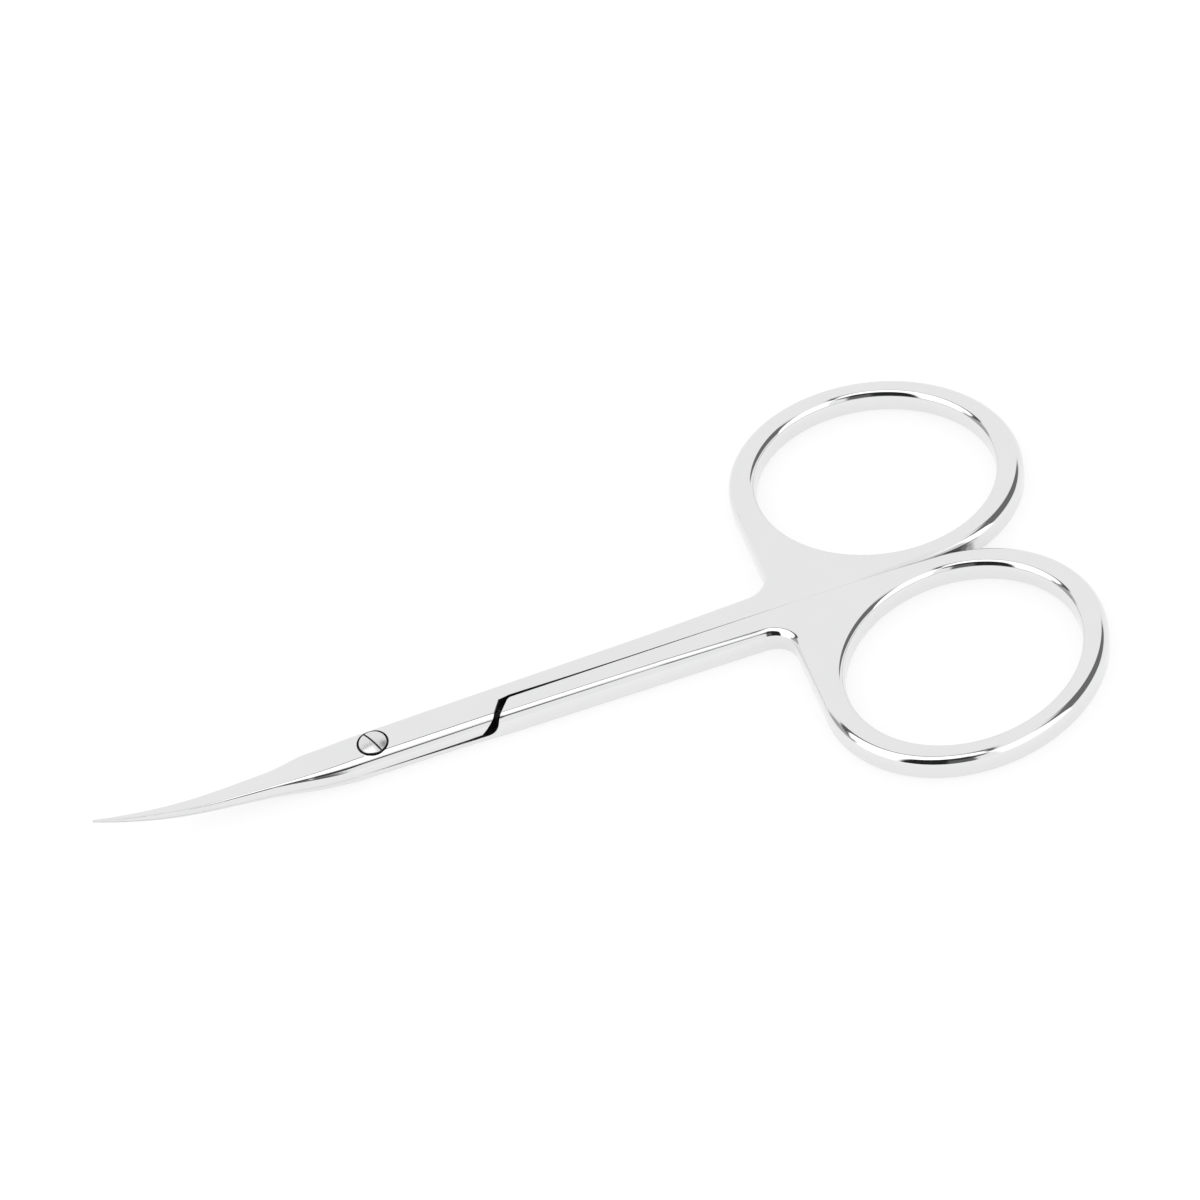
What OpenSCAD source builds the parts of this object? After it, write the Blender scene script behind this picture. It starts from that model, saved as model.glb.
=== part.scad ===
// Curved-blade cuticle scissors, closed, lying flat on their finger rings.
// The pivot axis is the Z axis. The rings point along +X, the tips along -X and upwards.
// The seam between the closed halves lies in the plane y = 0.

/* [Handles] */
// Thickness of the shanks and rings
stock_t = 2.55; // [2.3:0.05:3.2]
// Radius of the rounded edges of shanks and rings
edge_r = 0.53; // [0.3:0.01:0.7]
// Pivot axis to the middle of each finger ring, along the seam
ring_x = 52.5; // [46:0.5:60]
// Length of a finger opening, along its longer axis
finger_l = 22.4; // [20:0.1:25]
// Width of a finger opening, along its shorter axis
finger_w = 19.6; // [17:0.1:22]
// Turn of a finger opening's longer axis towards the seam
ring_turn = 18; // [10:1:24]
// Width of a ring's bar at its far end
bar_end_w = 2.55; // [2:0.05:3.2]
// Width of a ring's bar at its sides
bar_side_w = 2.1; // [1.8:0.05:2.8]
// Width of a shank where it leaves the joint
shank_w = 2.3; // [2:0.05:2.8]
// Widening of a shank from the joint to its ring
shank_flare = 0.35; // [0:0.05:0.8]
// Fillet between a shank and its ring
crotch_r = 2.2; // [1:0.1:3]
// Gap between the closed shanks
seam_gap = 0.08; // [0.06:0.01:0.2]

/* [Joint] */
// Height of the lap faces over the underside
lap_z = 1.15; // [1:0.01:1.35]
// Width of each half's lap on the far side of the seam from its ring
joint_w = 2.1; // [1.9:0.05:2.3]
// Radius of the rounded edge along that side
joint_r = 0.9; // [0.5:0.05:1]
// Pivot axis to the end of each half's lap, at the seam
lap_l = 12; // [10:0.1:14]
// Set-back of the lap's slanted end, from the seam to the side
lap_slant = 1.1; // [0.5:0.1:1.6]
// Open notch between the lap's end and the other half's shank
notch_w = 0.62; // [0.4:0.01:0.8]
// Running gap between the lap faces and between the blades
lap_gap = 0.06; // [0.04:0.01:0.12]

/* [Blades] */
// Pivot axis to the blade tips
tip_l = 26.1; // [24:0.1:30]
// Half width of both blades at their root
root_w = 1.25; // [1:0.05:1.7]
// Half width of both blades at their tip
tip_w = 0.09; // [0.06:0.01:0.2]
// Rise of the shear face from the joint to the tip
tip_rise = 3.4; // [2.5:0.1:4.5]
// Slope of the shear face on the way to its bend
shear_slope = 0.07; // [0.04:0.01:0.1]
// Pivot axis to the start of the upward bend
bend_l = 15.6; // [14:0.1:18]
// Thickness of one blade's back at its tip
tip_t = 0.12; // [0.08:0.01:0.2]
// Slope of a blade's outer face from its back to its edge
bevel = 14; // [8:1:20]

/* [Screw] */
// Diameter of the screw's head
head_d = 2.6; // [2.2:0.05:2.9]
// Height of the head's rim
head_h = 0.6; // [0.5:0.05:0.7]
// Height of the head's dome over its rim
dome_h = 0.34; // [0.2:0.01:0.5]
// Gap round the head in its counterbore
head_gap = 0.15; // [0.1:0.01:0.25]
// Diameter of the bearing length that the upper half turns on
journal_d = 1.9; // [1.6:0.05:2]
// Running clearance round the bearing length, on the radius
journal_gap = 0.03; // [0.02:0.01:0.05]
// Diameter of the threaded length in the lower half
thread_d = 1.4; // [1.2:0.05:1.5]
// Clearance of the threaded length, on the radius
thread_gap = 0.01; // [0.01:0.01:0.03]
// Width of the screwdriver slot
slot_w = 0.34; // [0.2:0.01:0.5]
// Depth of the screwdriver slot
slot_d = 0.42; // [0.3:0.01:0.5]
// Direction of the screwdriver slot
slot_turn = 113; // [0:1:180]

/* [Hidden] */
$fn = 96;
steel = [0.8, 0.8, 0.81];
past = 0.5;                                  // how far a cutter runs past what it cuts
far = 40;                                    // wider than any half
seam_y = seam_gap / 2;

finger_a = finger_l / 2;
finger_b = finger_w / 2;
ring_a = finger_a + bar_end_w;
ring_b = finger_b + bar_side_w;
seam_bite = 0.2;                             // how far the closed seam cuts into each ring's outline
ring_half_x = norm([ring_a * cos(ring_turn), ring_b * sin(ring_turn)]);
ring_half_y = norm([ring_a * sin(ring_turn), ring_b * cos(ring_turn)]);
ring_skew = (pow(ring_a, 2) - pow(ring_b, 2)) * sin(ring_turn) * cos(ring_turn);
ring_y = seam_y + ring_half_y - seam_bite;
web_inset = 0.12;                            // the straight inner wall stands this far inside the oval
web_x = ring_x - ring_half_x + web_inset;
web_top = ring_y + ring_skew / ring_half_x;
wall_x = lap_l + notch_w;                    // start of a full shank, at the seam
shank_turn = atan(shank_flare / (web_x - wall_x));
crotch_y = shank_w + shank_flare;
slant_turn = atan(lap_slant / shank_w);
lap_low = lap_z - lap_gap / 2;
lap_high = lap_z + lap_gap / 2;
joint_back = 1.8;                            // pivot axis to the start of the curved blade form
root_l = 10;                                 // pivot axis to the root of the blades
ramp_l = 6.4;                                // pivot axis to the end of the flat lap faces
top_bend_l = bend_l - 1.6;                   // the upper blade's back bends a little earlier
under_slope = 0.12;                          // slope of the lower blade's back before its bend
blade_edge_r = 0.16;                         // rounded edges of a blade at its root
tip_edge_r = 0.03;                           // and at its tip
least_edge_t = 0.1;                          // thickness left at a cutting edge
blade_steps = 20;
edge_steps = 3;                              // flats of a rounded corner
ring_steps = 72;                             // sections round a ring
dome_steps = 6;                              // bands of the screw's dome
web_lap = 1.5;                               // how far the shank runs into the ring's web
tip_z = lap_z + tip_rise;
bore_depth = head_h + 0.05;
bore_floor = stock_t - bore_depth;
dome_r = (pow(head_d / 2, 2) + pow(dome_h, 2)) / (2 * dome_h);
screw_end = 0.05;                            // the screw stops this far inside the underside

// Half width of the lap and blade at x, on the ring's side of the seam and on the other
function half_w(x, start) =
    x > -root_l ? root_w + (start - root_w) * (1 + cos(180 * (joint_back + x) / (joint_back - root_l))) / 2
                : tip_w + (root_w - tip_w) * (tip_l + x) / (tip_l - root_l);
shank_back_w = shank_w - (wall_x + joint_back) * tan(shank_turn);

// What a line along a blade gains at radius r: level, then a slope, then a round bend up to the tip
function climb(r, from, slope, bend, rise) =
    slope * max(0, r - from)
    + (rise - slope * (tip_l - from)) * pow(max(0, r - bend) / (tip_l - bend), 2);
function shear_z(r) = lap_z + climb(r, ramp_l, shear_slope, bend_l, tip_rise);
function top_z(r) = stock_t + climb(r, top_bend_l, 0, top_bend_l, tip_z + tip_t - stock_t);
function under_z(r) = climb(r, ramp_l, under_slope, bend_l, tip_z - tip_t);

// Rounded edge at x: from the joint's to the blade's, then on to the tip's
function edge_at(x, start) =
    x > -root_l ? blade_edge_r + (start - blade_edge_r) * (root_l + x) / (root_l - joint_back)
                : tip_edge_r + (blade_edge_r - tip_edge_r) * (tip_l + x) / (tip_l - root_l);

// Share of the bevel reached at x
function bevel_at(x) = min(1, (-joint_back - x) / (root_l - joint_back));

// Points of a rounded corner of radius r about (x, z), from one angle to another
function corner(x, z, r, from, to) =
    [for (i = [0 : edge_steps]) let (t = from + (to - from) * i / edge_steps) [x + r * cos(t), z + r * sin(t)]];

// Section of a plate from x = inner to a wall at x = wall, the wall's two corners rounded
module plate(inner, wall, r) {
    polygon(concat(
        [[inner, 0]], corner(wall - r, r, r, -90, 0), corner(wall - r, stock_t - r, r, 0, 90), [[inner, stock_t]]
    ));
}

// Section of a cutter that leaves rounded lips round an opening of radius wall
module lipped(wall) {
    flare = past / tan(45 / edge_steps);
    polygon(concat(
        [[0, -past], [wall + edge_r + flare, -past]], corner(wall + edge_r, edge_r, edge_r, 270, 180),
        corner(wall + edge_r, stock_t - edge_r, edge_r, 180, 90), [[wall + edge_r + flare, stock_t + past], [0, stock_t + past]]
    ));
}

// Distance from a ring's middle to the oval with half axes a and b, at a turn from +X
function oval_r(a, b, turn) = 1 / norm([cos(turn + ring_turn) / a, sin(turn + ring_turn) / b]);

// Distances to the straight inner wall and to the seam, where a ray at this turn meets them
function wall_r(turn) =
    cos(turn) >= 0 ? 0 :
    let (r = (web_x - ring_x) / cos(turn)) ring_y + r * sin(turn) > web_top ? 0 : r;
function seam_r(turn) = sin(turn) >= 0 ? far : (seam_y - ring_y) / sin(turn);
function outer_r(turn) = min(max(oval_r(ring_a, ring_b, turn), wall_r(turn)), seam_r(turn));

// Depth of the outer rounded edge along the ray, fading out where the seam cuts the ring
function outer_edge(turn) =
    let (on_wall = wall_r(turn) > oval_r(ring_a, ring_b, turn))
    let (free = max(oval_r(ring_a, ring_b, turn), wall_r(turn)) - seam_r(turn))
    max(0.02, edge_r * (on_wall ? 1 / abs(cos(turn)) : 1) - max(0, free + edge_r));

// Section of the ring along a ray: the opening's lips, then the outer edges
function ring_section(turn) =
    let (i = oval_r(finger_a, finger_b, turn), o = outer_r(turn), e = outer_edge(turn), h = min(e, edge_r))
    concat(
        [for (p = corner(0, 0, 1, 270, 180)) [i + edge_r + edge_r * p[0], edge_r + edge_r * p[1]]],
        [for (p = corner(0, 0, 1, 180, 90)) [i + edge_r + edge_r * p[0], stock_t - edge_r + edge_r * p[1]]],
        [for (p = corner(0, 0, 1, 90, 0)) [o - e + e * p[0], stock_t - h + h * p[1]]],
        [for (p = corner(0, 0, 1, 0, -90)) [o - e + e * p[0], h + h * p[1]]]
    );

// Finger ring with its web, lying on the +Y side of the seam
module ring() {
    n = 4 * (edge_steps + 1);
    points = [for (k = [0 : ring_steps - 1]) let (turn = 360 * k / ring_steps)
        for (p = ring_section(turn)) [ring_x + p[0] * cos(turn), ring_y + p[0] * sin(turn), p[1]]];
    faces = [for (k = [0 : ring_steps - 1], j = [0 : n - 1])
        let (next = (k + 1) % ring_steps, up = (j + 1) % n) [k * n + j, next * n + j, next * n + up, k * n + up]];
    polyhedron(points, faces, convexity = 6);
}

// Shank from the joint to the ring, widening towards the ring
module shank() {
    difference() {
        translate([wall_x, 0, 0]) rotate(shank_turn) translate([-wall_x - 2 * joint_back, 0, 0])
            rotate([90, 0, 90]) linear_extrude(2 * joint_back + web_x + web_lap) plate(-past, shank_w, edge_r);
        translate([-far - joint_back, -far / 2, -past]) cube([far, far, stock_t + 2 * past]);
    }
}

// Round inner corner between the shank and the ring
module crotch() {
    difference() {
        translate([web_x - crotch_r, crotch_y - edge_r, 0]) cube([crotch_r + edge_r, crotch_r + edge_r, stock_t]);
        translate([web_x - crotch_r, crotch_y + crotch_r, 0]) rotate_extrude() lipped(crotch_r);
    }
}

// Lap that crosses the seam, as far as its slanted end
module cross_lap() {
    difference() {
        translate([-joint_back, 0, 0]) rotate([90, 0, 90]) linear_extrude(joint_back + lap_l)
            mirror([1, 0]) plate(-past, joint_w, joint_r);
        translate([lap_l, 0, -past]) rotate(-slant_turn) translate([0, -far, 0]) cube([far, 2 * far, stock_t + 2 * past]);
    }
}

// Shank, ring and lap of a half, its ring on the +Y side, before the lap is cut to height
module blank() {
    intersection() {
        union() {
            ring();
            shank();
            crotch();
        }
        translate([-far, seam_y, -past]) cube([3 * far, far, stock_t + 2 * past]);
    }
    cross_lap();
}

// Everything of a +Y half ahead of the slanted wall where its full shank starts, between two heights
module lap_space(low, high) {
    difference() {
        translate([-far, -far / 2, low]) cube([2 * far, far, high - low]);
        translate([wall_x, 0, low - past]) rotate(slant_turn) translate([0, -far, 0])
            cube([2 * far, 2 * far, high - low + 2 * past]);
    }
}

// Section of a blade at x: the shear face, then the back with its rounded edges; s is 1 over the shear face
function blade_section(x, s) =
    let (own = half_w(x, shank_back_w), back = half_w(x, joint_w), r = -x)
    let (t = (s > 0 ? top_z(r) - shear_z(r) : shear_z(r) - under_z(r)) - lap_gap / 2)
    let (drop = (own + back) * tan(bevel * bevel_at(x)))
    let (edge_t = max(least_edge_t * min(1, t / least_edge_t / 2), t - drop))
    let (rb = min(edge_at(x, joint_r), 0.65 * t), ro = min(edge_at(x, edge_r), 0.65 * edge_t))
    [for (p = concat(
        [[own, 0], [(own - back) / 2, 0], [-back, 0]],
        corner(rb - back, t - rb, rb, 180, 90),
        corner(own - ro, edge_t - ro, ro, 90, 0)
    )) [x, s * p[0], shear_z(norm([x, p[0]])) + s * (lap_gap / 2 + p[1])]];

// Curved blade from the joint to the tip, over the shear face or under it
module blade(s) {
    n = 3 + 2 * (edge_steps + 1);
    hub = 4;                                 // point of a section that its end faces fan out from
    points = [for (i = [0 : blade_steps]) each blade_section(-joint_back - (tip_l - joint_back) * i / blade_steps, s)];
    sides = [for (i = [0 : blade_steps - 1], j = [0 : n - 1]) let (a = i * n + j, b = i * n + (j + 1) % n)
        each [[a, b + n, b], [a, a + n, b + n]]];
    ends = [for (j = [0 : n - 1]) let (a = j, b = (j + 1) % n, last = blade_steps * n)
        if (a != hub && b != hub) each [[hub, a, b], [last + hub, last + b, last + a]]];
    polyhedron(points, concat(sides, ends), convexity = 4);
}

module upper_half() {
    color(steel) {
        difference() {
            blank();
            lap_space(-past, lap_high);
            cylinder(r = journal_d / 2 + journal_gap, h = stock_t + past);
            translate([0, 0, bore_floor]) cylinder(r = head_d / 2 + head_gap, h = bore_depth + past);
        }
        blade(1);
    }
}

module lower_half() {
    color(steel) {
        difference() {
            mirror([0, 1, 0]) blank();
            mirror([0, 1, 0]) lap_space(lap_low, stock_t + past);
            translate([0, 0, -past]) cylinder(r = thread_d / 2 + thread_gap, h = stock_t);
        }
        blade(-1);
    }
}

// Shoulder screw: the head in the upper half, the thread in the lower one
module pivot_screw() {
    head_z = bore_floor + journal_gap;
    dome_turn = asin(head_d / 2 / dome_r);
    color(steel) difference() {
        rotate_extrude() polygon(concat(
            [[0, screw_end], [thread_d / 2, screw_end], [thread_d / 2, lap_low], [journal_d / 2, lap_low]],
            [[journal_d / 2, head_z], [head_d / 2, head_z]],
            [for (i = [0 : dome_steps]) let (t = dome_turn * (1 - i / dome_steps))
                [dome_r * sin(t), head_z + head_h + dome_h - dome_r * (1 - cos(t))]]
        ));
        rotate(slot_turn) translate([-head_d, -slot_w / 2, head_z + head_h + dome_h - slot_d])
            cube([2 * head_d, slot_w, head_h]);
    }
}

upper_half();
lower_half();
pivot_screw();
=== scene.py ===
import bpy
import bmesh
import math
from mathutils import Matrix, Vector


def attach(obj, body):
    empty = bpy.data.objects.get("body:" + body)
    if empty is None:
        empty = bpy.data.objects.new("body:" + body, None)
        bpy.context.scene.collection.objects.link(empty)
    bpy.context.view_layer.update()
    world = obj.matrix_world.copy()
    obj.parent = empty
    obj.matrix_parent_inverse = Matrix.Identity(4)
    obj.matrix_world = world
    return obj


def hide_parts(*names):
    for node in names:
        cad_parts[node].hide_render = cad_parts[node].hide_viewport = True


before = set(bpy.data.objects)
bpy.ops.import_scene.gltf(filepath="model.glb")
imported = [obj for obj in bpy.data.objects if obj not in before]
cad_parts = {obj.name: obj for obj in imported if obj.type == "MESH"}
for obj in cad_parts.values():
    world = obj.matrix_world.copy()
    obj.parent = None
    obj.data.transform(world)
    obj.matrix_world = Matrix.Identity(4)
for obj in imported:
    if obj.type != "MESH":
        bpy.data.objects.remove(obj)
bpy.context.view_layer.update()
scene = bpy.context.scene
print("frame loaded")

# pieces are worked in millimetres and brought to metres when they are finished
millimetre = 0.001
# points closer than this are one point
weld = 1e-4
# edges that bend by more than this stay sharp
crease = math.radians(24)
# how far a cutter reaches past what it cuts
past = 1


# small tools

def place(bm, scale, turn, move):
    spin = Matrix.Rotation(math.radians(turn), 3, "Z")
    bmesh.ops.scale(bm, vec=scale, verts=bm.verts)
    bmesh.ops.rotate(bm, cent=(0, 0, 0), matrix=spin, verts=bm.verts)
    bmesh.ops.translate(bm, vec=move, verts=bm.verts)


def extrudeSheet(bm, move):
    # a flat sheet becomes a prism
    made = bmesh.ops.extrude_face_region(bm, geom=bm.faces[:])["geom"]
    bmesh.ops.translate(bm, vec=move, verts=[v for v in made if isinstance(v, bmesh.types.BMVert)])
    openEdges = [e for e in bm.edges if e.is_boundary]
    if openEdges:
        bmesh.ops.holes_fill(bm, edges=openEdges, sides=0)
    bmesh.ops.recalc_face_normals(bm, faces=bm.faces)


def roundCorner(bm, corner, size, steps):
    vert = min(bm.verts, key=lambda v: (v.co.xy - Vector(corner)).length)
    bmesh.ops.bevel(bm, geom=[vert], offset=size, offset_type="OFFSET", segments=steps, profile=0.5,
                    affect="VERTICES", clamp_overlap=True, material=-1)


def asObject(bm, name):
    mesh = bpy.data.meshes.new(name)
    bm.to_mesh(mesh)
    bm.free()
    obj = bpy.data.objects.new(name, mesh)
    scene.collection.objects.link(obj)
    return obj


def applyModifiers(obj):
    graph = bpy.context.evaluated_depsgraph_get()
    old = obj.data
    obj.data = bpy.data.meshes.new_from_object(obj.evaluated_get(graph))
    obj.modifiers.clear()
    bpy.data.meshes.remove(old)


def combine(obj, other, operation, groundAndShade=False):
    # faces cut by a ground tool are marked, for their ground finish and for the painted shade in the notch and
    # the recess
    mark = other.data.attributes.new("groundAndShade", "FLOAT", "FACE")
    mark.data.foreach_set("value", [float(groundAndShade)] * len(other.data.polygons))
    if "groundAndShade" not in obj.data.attributes:
        obj.data.attributes.new("groundAndShade", "FLOAT", "FACE")
    modifier = obj.modifiers.new("combine", "BOOLEAN")
    modifier.operation = operation
    modifier.solver = "EXACT"
    modifier.object = other
    applyModifiers(obj)
    otherMesh = other.data
    bpy.data.objects.remove(other)
    bpy.data.meshes.remove(otherMesh)


def slab(corners, low, high, corner, size, steps):
    # a prism over a few corners, one of them rounded
    bm = bmesh.new()
    bm.faces.new([bm.verts.new((x, y, low)) for x, y in corners])
    roundCorner(bm, corner, size, steps)
    extrudeSheet(bm, (0, 0, high - low))
    return asObject(bm, "slab")


def bar(profile, startY, endY, lean):
    # a prism with its profile in x and z, running along y and leaning as it goes
    bm = bmesh.new()
    bm.faces.new([bm.verts.new((x, startY, z)) for x, z in profile])
    run = endY - startY
    extrudeSheet(bm, (lean * run, run, 0))
    return asObject(bm, "bar")


def ovalSlab(longHalf, shortHalf, turn, centre, low, high, steps):
    bm = bmesh.new()
    bmesh.ops.create_circle(bm, cap_ends=True, segments=steps, radius=1)
    place(bm, (longHalf, shortHalf, 1), turn, (*centre, low))
    extrudeSheet(bm, (0, 0, high - low))
    return asObject(bm, "oval")


def mix(a, b, share):
    share = min(1, max(0, share))
    return a + (b - a) * share


def partWay(x, start, end):
    # 0 at the start, 1 at the end
    return (x - start) / (end - start)


# the two halves

stock = {
    "thickness": 2.55,
    "edgeRound": 0.53,
    "edgeSegments": 7,
    "lapHeight": 1.15,
    # how far a face's direction may be off for it to count as flat or as an upright wall
    "trueness": 0.001,
}
# a pair of roundings says how far one reaches in over the face and how far down the wall
ring = {
    "centre": (52.5, 11.929),
    "turn": -18,
    "opening": (11.2, 9.8),
    "outside": (13.75, 11.9),
    "innerRound": (0.55, 0.85),
    "outerRound": (0.72, 0.85),
    "steps": 176,
}
shank = {
    "wallAtJoint": 2.109,
    "wallAtRing": 2.65,
    "innerWallX": 38.95,
    "innerWallTop": 12.95,
    "crotchRound": 2.2,
    "crotchSteps": 14,
    # the plan's corners under the ring, and where they start
    "tail": ((54.5, -0.13), (47, -0.55)),
    "tailStart": 44,
    # cuts that divide the long walls on the ring's side and on the other
    "wallCuts": (60, 110),
    "topRound": (0.93, 1.55),
    # where the shank's rounding turns into the ring's
    "roundEnd": (27, 38),
    # from here on both sides of the plan are the shank's own
    "fullFrom": 14,
    # how far each half stands back from the seam, at places along it
    "upperSeam": (
        (12.2, 0.16), (13.1, 0.3), (14.5, 0.28), (18, 0.2), (24, 0.12),
        (30, 0.08), (37, 0.02), (41, 0.004), (75, 0.002),
    ),
    "lowerSeam": ((12.2, 0.002), (75, 0.002)),
    # how far the cut for the other side reaches out from the seam
    "seamCut": 6,
}
lap = {
    "side": 2.1,
    "sideRound": 1.0,
    "start": -1.8,
    "flatEdge": 1.1,
    "flatEdgeAtBlade": 0.95,
    "underRound": 0.8,
    "underRun": (13, 8),
    "endX": 12.0,
    "endLean": 0.61,
    "endRound": 0.2,
    "endSteps": 4,
    # the wall at the lap's end: place along the seam and depth from the outer face
    "upperEnd": (
        (-1.07, -1), (0, 0.07), (-0.02, 0.15), (-0.07, 0.26),
        (-0.22, 0.43), (-0.65, 0.92), (-1.15, 1.43), (-1.3, 1.7),
    ),
    "lowerEnd": ((-1.0, -1), (0, 0), (0, 0.8), (-0.1, 1.0), (-0.3, 1.2), (-0.3, 1.7)),
    # how far that cut goes on along the seam and out from it
    "endCut": (3, 4),
    # where the room for the other lap ends: its place on the seam, its lean and its fillet
    "lowerShoulder": (12.92, -0.76, 1.0),
    "upperShoulder": (12.24, -0.62, 0.2),
    "filletSteps": 7,
    # the room's start, its height and how far it goes to each side
    "room": (-40, 4, 5),
    # height of the lap's face before the run and after it
    "faceRun": (0, 10),
    "lowerFace": (1.146, 1.0),
    "upperFace": (1.154, 1.10),
}
# the clearing at the inner corner between the shoulder and the seam
nick = {
    "start": 11,
    "end": 13.6,
    "overlap": 0.002,
    "beyond": 0.8,
    "round": 0.3,
    "steps": 5,
}
blade = {
    "root": -10,
    "tip": -26.1,
    "rootWidth": 1.25,
    "tipWidth": 0.09,
    "gap": 0.03,
    "shoulder": 0.3,
    "shoulderX": -6.6,
    "shoulderReach": 1.9,
    "rootRound": 0.3,
    "tipRound": 0.04,
    "roundFall": 2.2,
    "stations": 60,
    "rise": 3.4,
    "shearSlope": 0.07,
    "rampStart": 6.4,
    "bendStart": 15.6,
    "backBendStart": 14.0,
    "underSlope": 0.12,
    "tipThickness": 0.12,
    "bevel": 14,
    "leastEdge": 0.1,
}
# radius and steps of each hole
bore = {
    "journal": (0.98, 64),
    "head": (1.48, 96),
    "headDepth": 0.65,
    "thread": (0.71, 64),
}
# how fast the straight part of a blade narrows towards its tip
taper = (blade["rootWidth"] - blade["tipWidth"]) / (blade["root"] - blade["tip"])


def stationX(number):
    return mix(lap["start"], blade["tip"], number / blade["stations"])


def halfWidth(x, start, isBack=False):
    # both edges of a blade run in from the joint on one smooth curve, then straight to the tip
    if isBack:
        # the back edge stays fuller just ahead of the joint
        away = (x - blade["shoulderX"]) / blade["shoulderReach"]
        return halfWidth(x, start) + blade["shoulder"] * math.exp(-away ** 2)
    if x <= blade["root"]:
        return blade["tipWidth"] + taper * (x - blade["tip"])
    t = partWay(x, lap["start"], blade["root"])
    return (start * (2 * t ** 3 - 3 * t ** 2 + 1) + blade["rootWidth"] * (3 * t ** 2 - 2 * t ** 3)
            - taper * (lap["start"] - blade["root"]) * (t ** 3 - t ** 2))


def climb(r, start, slope, bend, rise):
    # level, then a slope, then a round bend up to the tip
    reach = -blade["tip"]
    return (slope * max(0, r - start)
            + (rise - slope * (reach - start)) * (max(0, r - bend) / (reach - bend)) ** 2)


def shearHeight(r):
    gained = climb(r, blade["rampStart"], blade["shearSlope"], blade["bendStart"], blade["rise"])
    return stock["lapHeight"] + gained


def backHeight(r, isUpper):
    tipHeight = stock["lapHeight"] + blade["rise"]
    if isUpper:
        rise = tipHeight + blade["tipThickness"] - stock["thickness"]
        return stock["thickness"] + climb(r, blade["backBendStart"], 0, blade["backBendStart"], rise)
    rise = tipHeight - blade["tipThickness"]
    return climb(r, blade["rampStart"], blade["underSlope"], blade["bendStart"], rise)


def ringShare(x, y):
    # 1 at the middle of the ring's band, less inside it and more outside
    turn = math.radians(ring["turn"])
    dx, dy = x - ring["centre"][0], y - ring["centre"][1]
    along = dx * math.cos(turn) + dy * math.sin(turn)
    across = dy * math.cos(turn) - dx * math.sin(turn)
    middle = [(a + b) / 2 for a, b in zip(ring["opening"], ring["outside"])]
    return math.hypot(along / middle[0], across / middle[1])


def edgeRounding(x, y, isTop, isUpper):
    # how far the rounding reaches in from an edge of the plan, and how far down the wall
    ownSide = y > 0 or x > shank["fullFrom"]
    if not ownSide:
        start = (lap["sideRound"], lap["sideRound"])
    elif ringShare(x, y) < 1:
        start = ring["innerRound"]
    elif isTop:
        share = partWay(x, *shank["roundEnd"])
        start = [mix(a, b, share) for a, b in zip(shank["topRound"], ring["outerRound"])]
    elif isUpper:
        start = (stock["edgeRound"], stock["edgeRound"])
    else:
        deep = mix(stock["edgeRound"], lap["underRound"], partWay(x, *lap["underRun"]))
        start = (deep, deep)
    if x > lap["start"] - weld:
        return start
    if x > blade["root"]:
        share = partWay(x, lap["start"], blade["root"])
        if not ownSide:
            near = max(blade["rootRound"], -y - mix(lap["flatEdge"], lap["flatEdgeAtBlade"], share))
            return near, near
        return [mix(a, blade["rootRound"], share) for a in start]
    share = partWay(x, blade["root"], blade["tip"])
    near = mix(blade["rootRound"], blade["tipRound"], share ** blade["roundFall"])
    return near, near


def planSlab(isUpper):
    # shank, lap and blade in plan, the ring on the +Y side, as one slab
    corners = [
        (lap["start"], shank["wallAtJoint"]), (shank["innerWallX"], shank["wallAtRing"]),
        (shank["innerWallX"], shank["innerWallTop"]), ring["centre"], *shank["tail"],
        (shank["tailStart"], -lap["side"]), (lap["start"], -lap["side"]),
    ]
    bm = bmesh.new()
    bm.faces.new([bm.verts.new((x, y, 0)) for x, y in corners])
    roundCorner(bm, corners[1], shank["crotchRound"], shank["crotchSteps"])
    for side, cuts in zip((1, -1), shank["wallCuts"]):
        # the longest edge on this side of the seam
        wall = max((e for e in bm.edges if all(v.co.y * side > 0 for v in e.verts)),
                   key=lambda e: e.calc_length())
        bmesh.ops.subdivide_edges(bm, edges=[wall], cuts=cuts)
    front = [e for e in bm.edges if all(abs(v.co.x - lap["start"]) < weld for v in e.verts)]
    for number in range(1, blade["stations"] + 1):
        x = stationX(number)
        made = bmesh.ops.extrude_edge_only(bm, edges=front)["geom"]
        front = [e for e in made if isinstance(e, bmesh.types.BMEdge)]
        for v in front[0].verts:
            if v.co.y > 0:
                v.co.y = halfWidth(x, shank["wallAtJoint"], isUpper)
            else:
                v.co.y = -halfWidth(x, lap["side"], not isUpper)
            v.co.x = x
    extrudeSheet(bm, (0, 0, stock["thickness"]))
    return asObject(bm, "plan")


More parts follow.
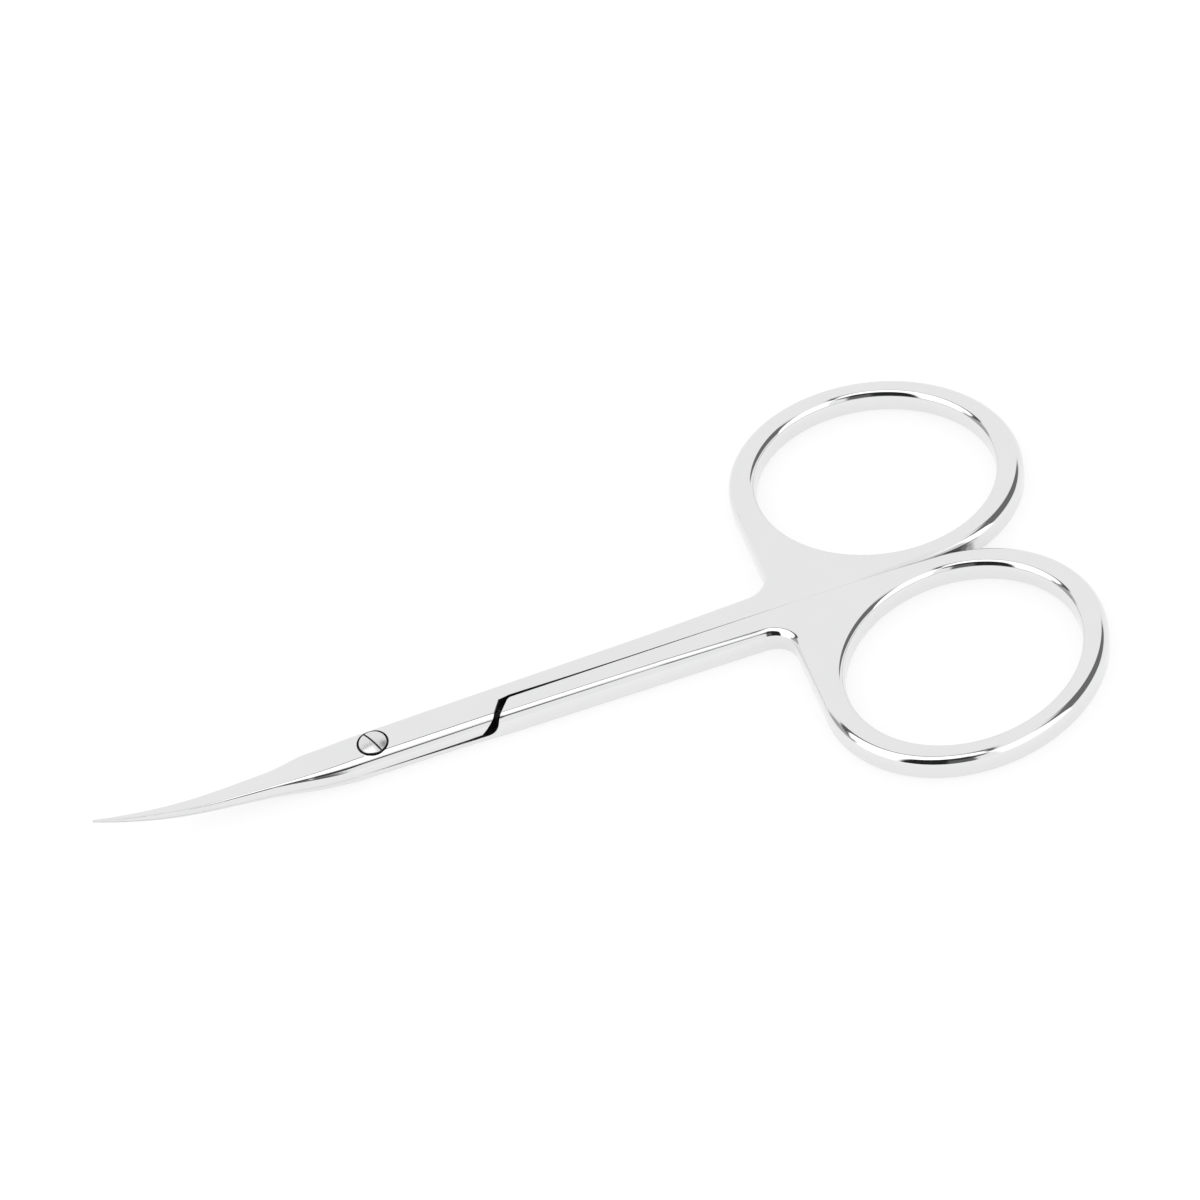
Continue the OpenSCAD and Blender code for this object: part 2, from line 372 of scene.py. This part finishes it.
def roundedSlab(obj, isUpper):
    # the plan's outline is raised step by step, drawn in at both faces by its own rounding
    bm = bmesh.new()
    bm.from_mesh(obj.data)
    bmesh.ops.remove_doubles(bm, verts=bm.verts, dist=weld)
    rim, outward = [], {}
    for e in bm.edges:
        walls = [f for f in e.link_faces if abs(f.normal.z) < 0.01]
        if len(walls) == 1 and all(abs(v.co.z) < weld for v in e.verts):
            rim.append(e)
            for v in e.verts:
                outward.setdefault(v, []).append(walls[0].normal.xy.normalized())
    bmesh.ops.delete(bm, geom=bm.faces[:], context="FACES_ONLY")
    bmesh.ops.delete(bm, geom=list(set(bm.edges) - set(rim)), context="EDGES")
    shape = {}
    for v in bm.verts:
        first, second = outward[v]
        radii = [edgeRounding(v.co.x, v.co.y, isTop, isUpper) for isTop in (False, True)]
        shape[v] = (v.co.xy.copy(), (first + second) / (1 + first.dot(second)), *radii)

    def layer(angle, isTop):
        for v, (base, out, under, over) in current.items():
            reach, drop = over if isTop else under
            v.co.xy = base - out * reach * (1 - math.cos(angle))
            lift = drop * (1 - math.sin(angle))
            v.co.z = stock["thickness"] - lift if isTop else lift

    segments = stock["edgeSegments"]
    angles = [(math.pi / 2 * (1 - i / segments), False) for i in range(segments + 1)]
    angles += [(math.pi / 2 * i / segments, True) for i in range(segments + 1)]
    current, front = shape, bm.edges[:]
    layer(*angles[0])
    bmesh.ops.triangle_fill(bm, use_beauty=True, use_dissolve=False, edges=front)
    front = [e for e in front if e.is_valid]
    for angle in angles[1:]:
        made = bmesh.ops.extrude_edge_only(bm, edges=front)["geom"]
        front = [g for g in made if isinstance(g, bmesh.types.BMEdge)]
        raised = {}
        for v in (g for g in made if isinstance(g, bmesh.types.BMVert)):
            source = next(e.other_vert(v) for e in v.link_edges if e.other_vert(v) in current)
            raised[v] = current[source]
        current = raised
        layer(*angle)
    bmesh.ops.triangle_fill(bm, use_beauty=True, use_dissolve=False, edges=front)
    bmesh.ops.recalc_face_normals(bm, faces=bm.faces)
    bm.to_mesh(obj.data)
    bm.free()


def cutSeam(half, isUpper):
    # the other half's side of the seam, back to the end of the lap
    t = stock["thickness"]
    seam = shank["upperSeam" if isUpper else "lowerSeam"]
    lean, out = lap["endLean"], shank["seamCut"]
    corner = (lap["endX"] + lean * seam[0][1], seam[0][1])
    outline = [corner, (lap["endX"] - out * lean, -out), (seam[-1][0], -out), *reversed(seam)]
    cutter = slab(outline, -past, t + past, corner, lap["endRound"], lap["endSteps"])
    combine(half, cutter, "DIFFERENCE", True)

    # the shaped wall at the lap's end
    outer, inward = (t, -1) if isUpper else (0, 1)
    wall = lap["upperEnd" if isUpper else "lowerEnd"]
    profile = [(corner[0] + along, outer + inward * depth) for along, depth in wall]
    reach, out = lap["endCut"]
    profile += [(corner[0] + reach, profile[-1][1]), (corner[0] + reach, profile[0][1])]
    combine(half, bar(profile, corner[1], -out, lean), "DIFFERENCE", True)


def cutRoom(half, isUpper):
    # the room for the other half's lap, with a fillet at its shoulder
    face, outward = (lap["upperFace"], -1) if isUpper else (lap["lowerFace"], 1)
    shoulder, lean, fillet = lap["upperShoulder" if isUpper else "lowerShoulder"]
    start, height, side = lap["room"]
    x0, x1 = lap["faceRun"]
    far = face[1] + outward * height
    profile = [(start, face[0]), (x0, face[0]), (x1, face[1]), (shoulder - fillet, face[1])]
    for i in range(1, lap["filletSteps"] + 1):
        angle = math.pi / 2 * i / lap["filletSteps"]
        profile.append((shoulder - fillet + fillet * math.sin(angle),
                        face[1] + outward * fillet * (1 - math.cos(angle))))
    profile += [(shoulder, far), (start, far)]
    profile = [(x - side * lean, z) for x, z in profile]
    combine(half, bar(profile, -side, side, lean), "DIFFERENCE", True)

    # the inner corner between the shoulder and the seam is cut clear
    seam = shank["upperSeam" if isUpper else "lowerSeam"]
    edge = seam[0][1] + nick["overlap"]
    point = (shoulder + lean * edge, edge)
    outline = [
        (nick["end"], -past), (nick["end"], edge), point,
        (point[0] + lean * nick["beyond"], edge + nick["beyond"]), (nick["start"], -past),
    ]
    low, high = sorted((face[1], far))
    cutter = slab(outline, low, high, point, nick["round"], nick["steps"])
    combine(half, cutter, "DIFFERENCE", True)


def cutHoles(half, isUpper):
    t = stock["thickness"]
    if isUpper:
        holes = ((bore["journal"], 0, t + past), (bore["head"], t - bore["headDepth"], t + past))
    else:
        holes = ((bore["thread"], -past, t),)
    for (radius, steps), low, high in holes:
        combine(half, ovalSlab(radius, radius, 0, (0, 0), low, high, steps), "DIFFERENCE", True)


def warpBlade(bm, isUpper):
    # the level slab of the blade is bent up between its shear face and its back
    low = stock["lapHeight"] + blade["gap"] / 2 if isUpper else 0
    high = stock["thickness"] if isUpper else stock["lapHeight"] - blade["gap"] / 2
    slope = math.tan(math.radians(blade["bevel"]))
    for v in bm.verts:
        x, y, z = v.co
        if x > lap["start"] - weld:
            continue
        r = math.hypot(x, y)
        share = (z - low) / (high - low)
        back = halfWidth(x, lap["side"])
        turned = mix(0, slope, partWay(x, lap["start"], blade["root"]))
        if isUpper:
            near = shearHeight(r) + blade["gap"] / 2
            depth = backHeight(-x, True) - shearHeight(-x) - blade["gap"] / 2
        else:
            near = shearHeight(r) - blade["gap"] / 2
            depth = shearHeight(-x) - backHeight(-x, False) - blade["gap"] / 2
            share = 1 - share
        least = blade["leastEdge"] * min(1, depth / blade["leastEdge"] / 2)
        depth = max(least, depth - turned * max(0, y + back))
        v.co.z = near + share * depth if isUpper else near - share * depth


def holdFlats(mesh, flats):
    # flats and walls keep their own direction right up to the roundings,
    # so that no reflection bends on them
    facing = {}
    for number in flats:
        polygon = mesh.polygons[number]
        for vertex in polygon.vertices:
            facing.setdefault(vertex, []).append((Vector(polygon.normal), polygon.area))
    normals = [Vector(corner.vector) for corner in mesh.corner_normals]
    for polygon in mesh.polygons:
        for corner in polygon.loop_indices:
            total = Vector((0, 0, 0))
            for normal, area in facing.get(mesh.loops[corner].vertex_index, ()):
                if normal.dot(polygon.normal) > math.cos(crease):
                    total += normal * area
            if total.length > 0:
                normals[corner] = total.normalized()
    mesh.normals_split_custom_set(normals)


def buildHalf(name, isUpper):
    # both halves are built with the ring on the +Y side, and the lower one is then mirrored
    t = stock["thickness"]
    half = planSlab(isUpper)
    oval = (ring["turn"], ring["centre"])
    combine(half, ovalSlab(*ring["outside"], *oval, 0, t, ring["steps"]), "UNION")
    combine(half, ovalSlab(*ring["opening"], *oval, -past, t + past, ring["steps"]), "DIFFERENCE")
    roundedSlab(half, isUpper)
    cutSeam(half, isUpper)
    cutRoom(half, isUpper)
    cutHoles(half, isUpper)

    bm = bmesh.new()
    bm.from_mesh(half.data)
    bmesh.ops.remove_doubles(bm, verts=bm.verts, dist=weld)
    for number in range(1, blade["stations"]):
        bmesh.ops.bisect_plane(bm, geom=bm.verts[:] + bm.edges[:] + bm.faces[:], dist=2 * weld,
                               plane_co=(stationX(number), 0, 0), plane_no=(1, 0, 0))

    # flats and upright walls are noted while the blade is still level
    bm.normal_update()
    level = bm.faces.layers.int.new("level")
    for f in bm.faces:
        facesUp = abs(f.normal.z)
        f[level] = facesUp > 1 - stock["trueness"] or facesUp < stock["trueness"]
    warpBlade(bm, isUpper)
    if not isUpper:
        bmesh.ops.scale(bm, vec=(1, -1, 1), verts=bm.verts)
        bmesh.ops.reverse_faces(bm, faces=bm.faces)
    bmesh.ops.dissolve_degenerate(bm, edges=bm.edges, dist=weld / 10)
    bmesh.ops.scale(bm, vec=(millimetre,) * 3, verts=bm.verts)
    for f in bm.faces:
        f.smooth = True
    groundAndShade = bm.faces.layers.float["groundAndShade"]
    print(name, "faces", len(bm.faces), "groundAndShade", sum(f[groundAndShade] > 0.5 for f in bm.faces),
          "odd edges", sum(not e.is_manifold for e in bm.edges))
    flats = [i for i, f in enumerate(bm.faces) if f[level]]
    bm.faces.layers.int.remove(level)
    bm.to_mesh(half.data)
    bm.free()
    half.name = name
    half.data.set_sharp_from_angle(angle=crease)
    holdFlats(half.data, flats)
    return half


upper = buildHalf("upperHalfForged", True)
lower = buildHalf("lowerHalfForged", False)
print("halves made")


# the screw

screw = {
    "end": 0.05,
    "thread": 0.7,
    "threadTop": 1.12,
    "journal": 0.95,
    "head": 1.3,
    "headLow": 1.93,
    "rimHigh": 2.64,
    "dome": 0.23,
    "slotWidth": 0.16,
    "slotDepth": 0.44,
    "slotTurn": 113,
    # length and height of the tool that cuts the slot
    "slotTool": (4, 2),
    "edge": 0.05,
    "turnSteps": 96,
    "domeSteps": 10,
}


def buildScrew():
    # one turned profile, then the slot
    s = screw
    domeRadius = (s["head"] ** 2 + s["dome"] ** 2) / (2 * s["dome"])
    top = s["rimHigh"] + s["dome"]
    profile = [
        (0, s["end"]), (s["thread"] - s["edge"], s["end"]), (s["thread"], s["end"] + s["edge"]),
        (s["thread"], s["threadTop"]), (s["journal"], s["threadTop"]), (s["journal"], s["headLow"]),
        (s["head"], s["headLow"]), (s["head"], s["rimHigh"] - s["edge"]),
    ]
    full = math.asin((s["head"] - s["edge"]) / domeRadius)
    for i in range(s["domeSteps"] + 1):
        angle = full * (1 - i / s["domeSteps"])
        profile.append((domeRadius * math.sin(angle), top - domeRadius * (1 - math.cos(angle))))
    bm = bmesh.new()
    verts = [bm.verts.new((r, 0, z)) for r, z in profile]
    edges = [bm.edges.new(pair) for pair in zip(verts, verts[1:])]
    bmesh.ops.spin(bm, geom=verts + edges, cent=(0, 0, 0), axis=(0, 0, 1), angle=2 * math.pi,
                   steps=s["turnSteps"], use_merge=True)
    bmesh.ops.remove_doubles(bm, verts=bm.verts, dist=weld / 10)
    bmesh.ops.recalc_face_normals(bm, faces=bm.faces)
    piece = asObject(bm, "pivotScrewTurned")
    bm = bmesh.new()
    bmesh.ops.create_cube(bm, size=1)
    length, height = s["slotTool"]
    low = top - s["slotDepth"]
    place(bm, (length, s["slotWidth"], height), s["slotTurn"], (0, 0, low + height / 2))
    combine(piece, asObject(bm, "slot"), "DIFFERENCE")
    bm = bmesh.new()
    bm.from_mesh(piece.data)
    bmesh.ops.remove_doubles(bm, verts=bm.verts, dist=weld)
    bmesh.ops.scale(bm, vec=(millimetre,) * 3, verts=bm.verts)
    for f in bm.faces:
        f.smooth = True
    print("screw faces", len(bm.faces), "odd edges", sum(not e.is_manifold for e in bm.edges))
    bm.to_mesh(piece.data)
    bm.free()
    piece.data.set_sharp_from_angle(angle=crease)
    weighted = piece.modifiers.new("flat faces stay flat", "WEIGHTED_NORMAL")
    weighted.keep_sharp = True
    return piece


turned = buildScrew()
print("screw made")


# finishes

class Signal:
    # one value on its way through a material's nodes

    def __init__(self, tree, socket):
        self.tree = tree
        self.socket = socket

    def math(self, operation, first, second):
        return node(self.tree, "ShaderNodeMath", {"operation": operation}, {0: first, 1: second})

    def __add__(self, other):
        return self.math("ADD", self, other)

    def __radd__(self, other):
        return self.math("ADD", other, self)

    def __sub__(self, other):
        return self.math("SUBTRACT", self, other)

    def __rsub__(self, other):
        return self.math("SUBTRACT", other, self)

    def __mul__(self, other):
        return self.math("MULTIPLY", self, other)

    def __rmul__(self, other):
        return self.math("MULTIPLY", other, self)

    def __truediv__(self, other):
        return self.math("DIVIDE", self, other)

    def __rtruediv__(self, other):
        return self.math("DIVIDE", other, self)

    def clamped(self, value):
        return node(self.tree, "ShaderNodeClamp", {}, {"Value": value})

    def other(self, output):
        # another output of the same node
        return Signal(self.tree, self.socket.node.outputs[output])


def node(tree, kind, settings, values, output=0):
    made = tree.nodes.new(kind)
    for key, value in settings.items():
        setattr(made, key, value)
    for key, value in values.items():
        if isinstance(value, Signal):
            tree.links.new(value.socket, made.inputs[key])
        else:
            made.inputs[key].default_value = value
    return Signal(tree, made.outputs[output]) if made.outputs else None


def emptyTree(owner):
    owner.use_nodes = True
    owner.node_tree.nodes.clear()
    return owner.node_tree


def rising(value, edge, soft):
    # from 0 to 1 across an edge
    return node(value.tree, "ShaderNodeMapRange", {"interpolation_type": "SMOOTHSTEP"},
                {"Value": value, "From Min": edge - soft, "From Max": edge + soft})


def falling(value, edge, soft):
    # from 1 to 0 across an edge
    return node(value.tree, "ShaderNodeMapRange", {"interpolation_type": "SMOOTHSTEP"},
                {"Value": value, "From Min": edge - soft, "From Max": edge + soft,
                 "To Min": 1.0, "To Max": 0.0})


def between(value, low, high, soft):
    # 1 from low to high, with soft ends
    return rising(value, low, soft) * falling(value, high, soft)


# lengths in the finishes are in metres, as the shaders meet them
polish = {
    "colour": (0.80, 0.80, 0.805),
    "roughness": 0.07,
    "roughnessSpread": 0.05,
    "grainTurn": 0,
    "grainStretch": (150, 9000, 9000),
    "grain": {"Scale": 1.0, "Detail": 3.0, "Roughness": 0.6},
    "grainBump": {"Strength": 0.25, "Distance": 0.000002},
    "clouds": {"Scale": 260.0, "Detail": 4.0, "Roughness": 0.55},
    "toneSpread": 0.03,
    # cut faces are a little darker as ground steel; on the screw's rim and slot this tone is painted shade
    "groundAndShadeTone": 0.8,
    "groundRoughness": 0.22,
    # painted shade: the notch between the halves and the recess for the screw's head are darkened where shade
    # falls in them
    "notch": (0.0086, 0.0136),
    "notchSoft": 0.0005,
    "recess": 0.00156,
    "recessSoft": 0.00002,
    # how dark the painted shade makes these places
    "paintedShadeTone": 0.25,
    # painted shade: the walls that face each other across the seam, and the narrow place between the rings,
    # are darkened where shade falls between them
    "seamReach": 0.00048,
    "seamHeights": (0.0002, 0.0024),
    "seamSoft": 0.0001,
    "seamShade": 0.7,
    # the strip along a blade's -Y edge, as far as the straight part of the bend
    "honedWidth": 0.00024,
    "honedSoft": 0.00004,
    "honedEndSoft": 0.004,
    "honedRoughness": 0.25,
}
screwFinish = {
    "colour": (0.76, 0.76, 0.77),
    "roughness": 0.27,
    "grainTurn": 23,
    # painted shade on the head's side beyond this radius and on the walls and floor of the slot
    "rimEdge": 0.00127,
    "rimSoft": 0.00002,
    "slotWall": 0.000084,
    "slotSoft": 0.000004,
    "slotShade": 0.85,
}


def polishedSteel(name, finish, isScrew):
    material = bpy.data.materials.new(name)
    tree = emptyTree(material)
    where = node(tree, "ShaderNodeTexCoord", {}, {}, "Object")
    grainSpace = node(tree, "ShaderNodeMapping", {}, {
        "Vector": where, "Rotation": (0, 0, math.radians(finish["grainTurn"])),
        "Scale": polish["grainStretch"]})
    lines = node(tree, "ShaderNodeTexNoise", {}, {"Vector": grainSpace, **polish["grain"]})
    clouds = node(tree, "ShaderNodeTexNoise", {}, {"Vector": where, **polish["clouds"]})
    x = node(tree, "ShaderNodeSeparateXYZ", {}, {"Vector": where}, "X")
    y, z = x.other("Y"), x.other("Z")
    reach = x.math("SQRT", x * x + y * y, 0.0)
    if isScrew:
        # painted shade: the side of the head's rim, down in the recess, and the walls and floor of the slot
        # are darkened where shade falls, and they are rougher
        turn = math.radians(screw["slotTurn"])
        across = x.math("ABSOLUTE", y * math.cos(turn) - x * math.sin(turn), 0.0)
        rim = rising(reach, finish["rimEdge"], finish["rimSoft"])
        slot = falling(across, finish["slotWall"], finish["slotSoft"]) * finish["slotShade"]
        groundAndShade = x.math("MAXIMUM", rim, slot)
        paintedShade = groundAndShade
    else:
        groundAndShade = node(tree, "ShaderNodeAttribute", {"attribute_name": "groundAndShade"}, {}, "Fac")
        # painted shade: cut faces in the notch and in the recess, and the walls across the seam, are darkened
        # where shade falls
        notch = between(x, *polish["notch"], polish["notchSoft"])
        recess = falling(reach, polish["recess"], polish["recessSoft"])
        fromSeam = x.math("ABSOLUTE", y, 0.0)
        seamWallShade = (rising(x, polish["notch"][0], polish["notchSoft"])
                    * falling(fromSeam, polish["seamReach"], polish["seamSoft"])
                    * between(z, *polish["seamHeights"], polish["seamSoft"]))
        paintedShade = groundAndShade * x.math("MAXIMUM", notch, recess)
        paintedShade = x.math("MAXIMUM", paintedShade, seamWallShade * polish["seamShade"])
    # both noises have their middle at a half
    grainShift, cloudShift = lines - 0.5, clouds - 0.5
    tone = 1 + cloudShift * polish["toneSpread"] + grainShift * polish["toneSpread"]
    # the ground tone darkens cut faces a little, and on the screw's rim and slot it is painted shade; the
    # painted shade tone darkens the notch, the recess, the seam walls and the screw's rim and slot much more
    tone = tone * (1 - (1 - polish["groundAndShadeTone"]) * groundAndShade) * (1 - (1 - polish["paintedShadeTone"]) * paintedShade)
    base = node(tree, "ShaderNodeVectorMath", {"operation": "SCALE"},
                {0: finish["colour"], "Scale": tone})
    fromRoot = x - blade["root"] * millimetre
    fromEdge = y + blade["rootWidth"] * millimetre + fromRoot * taper
    honed = (falling(fromEdge, polish["honedWidth"], polish["honedSoft"])
             * falling(x, -blade["bendStart"] * millimetre, polish["honedEndSoft"]))
    rough = (finish["roughness"] + honed * polish["honedRoughness"]
             + grainShift * polish["roughnessSpread"] + cloudShift * polish["roughnessSpread"]
             + groundAndShade * polish["groundRoughness"])
    bump = node(tree, "ShaderNodeBump", {}, {**polish["grainBump"], "Height": lines})
    surface = node(tree, "ShaderNodeBsdfPrincipled", {},
                   {"Base Color": base, "Roughness": rough, "Normal": bump, "Metallic": 1.0})
    node(tree, "ShaderNodeOutputMaterial", {}, {"Surface": surface})
    return material


steel = polishedSteel("polishedSteel", polish, False)
screwSteel = polishedSteel("screwSteel", screwFinish, True)
for piece, nodeName, slotName, material, body in (
        (upper, "upper_half", "polished_steel", steel, "moving_half"),
        (lower, "lower_half", "polished_steel", steel, "fixed_half"),
        (turned, "pivot_screw", "screw_steel", screwSteel, "fixed_half")):
    piece.data.materials.clear()
    piece.data.materials.append(material)
    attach(piece, body)
    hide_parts(nodeName)
for nodeName, material in (("upper_half", steel), ("lower_half", steel), ("pivot_screw", screwSteel)):
    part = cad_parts[nodeName]
    for slotNumber in range(len(part.data.materials)):
        part.data.materials[slotNumber] = material
print("materials made")


# floor, light and camera

studio = {
    "floorHalf": 2.5,
    "floor": 0.8,
    "floorGlow": 1.2,
    "floorGlowShare": 0.6,
    "plain": 0.99,
    # the light box overhead, as it would lie one metre up, and the dark rim round it
    "topBox": {
        "x": (-2.7, 0.105), "y": (-0.42, 0.48), "soft": 0.015, "level": 1.5,
        "rim": (0.055, 0.18), "rimLevel": 0.1,
        # it fades out where a ray runs nearly level
        "fade": 0.05, "fadeSoft": 0.03, "lowest": 0.02,
    },
    # headings are counted on from this one
    "firstHeading": -32.0,
    # panels and gaps round the table: heading from and to, height from and to, softness,
    # in degrees, and level
    "panels": (
        ((-60, 54), (14, 65), 2.5, 0.17),
        ((143, 178), (-5, 56), 4, 0.45),
        ((178, 214), (-5, 66), 3, 1.45),
        ((217, 267), (-5, 67), 2, 0.13),
        ((217, 249), (-5, 67), 2, 0.02),
        ((281, 400), (-5, 62), 2, 1.45),
    ),
    # the first one's lower edge climbs to the right
    "gapSlope": 0.62,
    # the dark spot that the camera makes
    "lens": {"heading": -98, "height": 48, "reach": 10.5, "soft": 1.5, "level": 0.03},
}
white = (1, 1, 1, 1)


def buildFloor():
    bm = bmesh.new()
    bmesh.ops.create_grid(bm, x_segments=1, y_segments=1, size=studio["floorHalf"])
    floor = asObject(bm, "floor")
    material = bpy.data.materials.new("paleFloor")
    tree = emptyTree(material)
    matt = node(tree, "ShaderNodeBsdfDiffuse", {}, {"Color": (studio["floor"],) * 3 + (1,)})
    glow = node(tree, "ShaderNodeEmission", {}, {"Color": white, "Strength": studio["floorGlow"]})
    seen = node(tree, "ShaderNodeLightPath", {}, {}, "Is Camera Ray")
    direct = seen.clamped(seen + seen.other("Is Glossy Ray") + seen.other("Is Transmission Ray"))
    share = studio["floorGlowShare"] * direct
    surface = node(tree, "ShaderNodeMixShader", {}, {"Fac": share, 1: matt, 2: glow})
    node(tree, "ShaderNodeOutputMaterial", {}, {"Surface": surface})
    floor.data.materials.append(material)


def buildWorld():
    # one even light all round, and for reflections a brighter box overhead,
    # bright panels and the dark gaps between them
    world = bpy.data.worlds.new("studio")
    scene.world = world
    tree = emptyTree(world)
    ray = node(tree, "ShaderNodeTexCoord", {}, {}, "Generated")
    x = node(tree, "ShaderNodeSeparateXYZ", {}, {"Vector": ray}, "X")
    y, z = x.other("Y"), x.other("Z")
    degree = math.degrees(1)
    first = studio["firstHeading"]
    heading = x.math("ARCTAN2", y, x) * degree
    fullHeading = node(tree, "ShaderNodeMath", {"operation": "WRAP"},
                       {0: heading, 1: first + 360.0, 2: first})
    height = node(tree, "ShaderNodeMath", {"operation": "ARCSINE"}, {0: z}) * degree
    overSlope = height - x.math("MAXIMUM", heading, 0.0) * studio["gapSlope"]
    level = studio["plain"] + 0 * heading
    for number, (headings, (low, high), soft, value) in enumerate(studio["panels"]):
        overLow = overSlope if number == 0 else height
        mask = between(fullHeading, *headings, soft) * rising(overLow, low, soft) * falling(height, high, soft)
        level = level + (value - level) * mask
    lens = studio["lens"]
    a, b = math.radians(lens["heading"]), math.radians(lens["height"])
    axis = (math.cos(b) * math.cos(a), math.cos(b) * math.sin(a), math.sin(b))
    facing = node(tree, "ShaderNodeVectorMath", {"operation": "DOT_PRODUCT"}, {0: ray, 1: axis}, "Value")
    off = node(tree, "ShaderNodeMath", {"operation": "ARCCOSINE"}, {0: facing}) * degree
    level = level + (lens["level"] - level) * falling(off, lens["reach"], lens["soft"])
    box = studio["topBox"]
    above = x.math("MAXIMUM", z, box["lowest"])
    across, along = x / above, y / above
    up = rising(z, box["fade"], box["fadeSoft"])
    for (rimX, rimY), value in ((box["rim"], box["rimLevel"]), ((0, 0), box["level"])):
        mask = (between(across, box["x"][0], box["x"][1] + rimX, box["soft"])
                * between(along, box["y"][0], box["y"][1] + rimY, box["soft"]) * up)
        level = level + (value - level) * mask
    plain = node(tree, "ShaderNodeBackground", {}, {"Color": white, "Strength": 1.0})
    mirrored = node(tree, "ShaderNodeBackground", {}, {"Color": white, "Strength": level})
    glossy = node(tree, "ShaderNodeLightPath", {}, {}, "Is Glossy Ray")
    surface = node(tree, "ShaderNodeMixShader", {}, {"Fac": glossy, 1: plain, 2: mirrored})
    node(tree, "ShaderNodeOutputWorld", {}, {"Surface": surface})


view = {
    "place": (-0.0234031, -0.3150109, 0.3699973),
    "right": (0.94423171, -0.29821273, -0.13962679),
    "up": (0.31472685, 0.69266461, 0.64897053),
    "lens": 160.759,
    "sensor": 36,
    "nearest": 0.01,
}


def buildCamera():
    data = bpy.data.cameras.new("camera")
    data.sensor_width = view["sensor"]
    data.sensor_fit = "HORIZONTAL"
    data.lens = view["lens"]
    data.clip_start = view["nearest"]
    camera = bpy.data.objects.new("camera", data)
    right, up = Vector(view["right"]), Vector(view["up"])
    turn = Matrix((right, up, right.cross(up))).transposed().to_4x4()
    camera.matrix_world = Matrix.Translation(view["place"]) @ turn
    scene.collection.objects.link(camera)
    scene.camera = camera


buildFloor()
buildWorld()
buildCamera()
scene.view_settings.view_transform = "Standard"
print("studio made")
